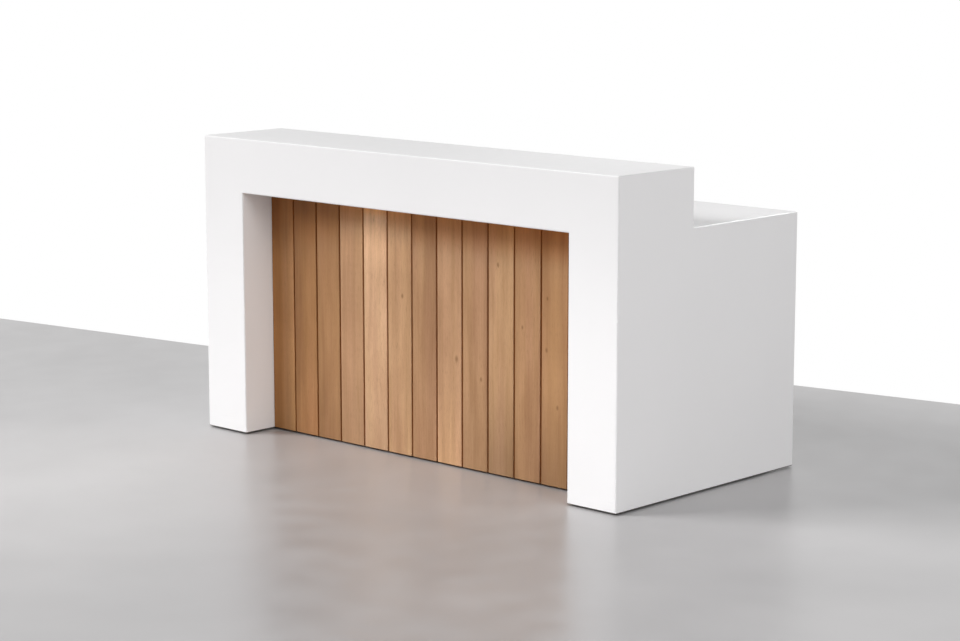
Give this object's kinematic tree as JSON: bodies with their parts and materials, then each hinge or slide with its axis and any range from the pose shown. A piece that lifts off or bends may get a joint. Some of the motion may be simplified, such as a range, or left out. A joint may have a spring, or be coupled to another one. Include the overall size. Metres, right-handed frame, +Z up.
{
  "type": "bar counter",
  "caption": "Straight bar counter: white mitred shell with a raised bar top over a recessed oak front, lower worktop and storage with drawers, doors and open shelves behind.",
  "frame": {"origin": "on the floor, under the middle of the counter", "axes": "+X along the length towards the customers' right, +Y from the customers to the staff, +Z up"},
  "size_m": [2, 0.96, 1.1],
  "materials": {
    "white_lacquer": "satin white lacquer on board",
    "oak": "oiled oak, straight grain",
    "white_melamine": "white melamine-faced board",
    "birch_plywood": "sealed birch plywood",
    "softwood": "sawn softwood",
    "black_laminate": "black laminate on board",
    "zinc_steel": "zinc-plated steel",
    "black_plastic": "moulded black plastic"
  },
  "bodies": {
    "counter": {"back_panels": "white_melamine", "bar_top": "white_lacquer", "base_panel": "white_melamine", "battens": "softwood", "bulkhead": "birch_plywood", "carcass_runners": "zinc_steel", "cupboard_shelf": "white_melamine", "foot_sockets": "zinc_steel", "front_fascia": "white_lacquer", "header_ribs": "birch_plywood", "header_soffit": "white_lacquer", "hinge_frame_leaves": "zinc_steel", "left_divider": "white_melamine", "left_end_panel": "white_lacquer", "left_gable": "white_melamine", "left_leg_ribs": "birch_plywood", "left_reveal": "white_lacquer", "oak_board_01": "oak", "oak_board_02": "oak", "oak_board_03": "oak", "oak_board_04": "oak", "oak_board_05": "oak", "oak_board_06": "oak", "oak_board_07": "oak", "oak_board_08": "oak", "oak_board_09": "oak", "oak_board_10": "oak", "oak_board_11": "oak", "oak_board_12": "oak", "oak_board_13": "oak", "open_bay_shelf": "white_melamine", "plinth": "black_laminate", "right_divider": "white_melamine", "right_end_panel": "white_lacquer", "right_gable": "white_melamine", "right_leg_ribs": "birch_plywood", "right_reveal": "white_lacquer", "riser_panel": "white_lacquer", "shelf_pins": "zinc_steel", "worktop": "white_lacquer", "worktop_deck": "birch_plywood"},
    "upper_drawer": {"upper_drawer_front": "white_lacquer", "upper_drawer_box": "birch_plywood", "upper_drawer_runners": "zinc_steel"},
    "middle_drawer": {"middle_drawer_front": "white_lacquer", "middle_drawer_box": "birch_plywood", "middle_drawer_runners": "zinc_steel"},
    "lower_drawer": {"lower_drawer_front": "white_lacquer", "lower_drawer_box": "birch_plywood", "lower_drawer_runners": "zinc_steel"},
    "left_cupboard_door": {"left_door": "white_lacquer", "left_door_hinge_leaves": "zinc_steel"},
    "right_cupboard_door": {"right_door": "white_lacquer", "right_door_hinge_leaves": "zinc_steel"},
    "left_glide_body": {"left_glide": "black_plastic"},
    "right_glide_body": {"right_glide": "black_plastic"},
    "front_centre_foot_body": {"front_centre_foot": "black_plastic"},
    "rear_left_foot_body": {"rear_left_foot": "black_plastic"},
    "rear_centre_foot_body": {"rear_centre_foot": "black_plastic"},
    "rear_right_foot_body": {"rear_right_foot": "black_plastic"}
  },
  "joints": [
    {"name": "upper_drawer_slide", "type": "slide", "parent": "counter", "child": "upper_drawer", "axis": [0, 1, 0], "range_m": [0, 0.38]},
    {"name": "middle_drawer_slide", "type": "slide", "parent": "counter", "child": "middle_drawer", "axis": [0, 1, 0], "range_m": [0, 0.38]},
    {"name": "lower_drawer_slide", "type": "slide", "parent": "counter", "child": "lower_drawer", "axis": [0, 1, 0], "range_m": [0, 0.38]},
    {"name": "left_door_hinge", "type": "hinge", "parent": "counter", "child": "left_cupboard_door", "pos_m": [-0.9603, 0.4443, 0.48], "axis": [0, 0, 1], "range_deg": [0, 105]},
    {"name": "right_door_hinge", "type": "hinge", "parent": "counter", "child": "right_cupboard_door", "pos_m": [-0.33437, 0.4443, 0.48], "axis": [0, 0, -1], "range_deg": [0, 105]},
    {"name": "left_glide_screw", "type": "slide", "parent": "counter", "child": "left_glide_body", "axis": [0, 0, -1], "range_m": [0, 0.012]},
    {"name": "right_glide_screw", "type": "slide", "parent": "counter", "child": "right_glide_body", "axis": [0, 0, -1], "range_m": [0, 0.012]},
    {"name": "front_centre_foot_screw", "type": "slide", "parent": "counter", "child": "front_centre_foot_body", "axis": [0, 0, -1], "range_m": [0, 0.02]},
    {"name": "rear_left_foot_screw", "type": "slide", "parent": "counter", "child": "rear_left_foot_body", "axis": [0, 0, -1], "range_m": [0, 0.02]},
    {"name": "rear_centre_foot_screw", "type": "slide", "parent": "counter", "child": "rear_centre_foot_body", "axis": [0, 0, -1], "range_m": [0, 0.02]},
    {"name": "rear_right_foot_screw", "type": "slide", "parent": "counter", "child": "rear_right_foot_body", "axis": [0, 0, -1], "range_m": [0, 0.02]}
  ]
}
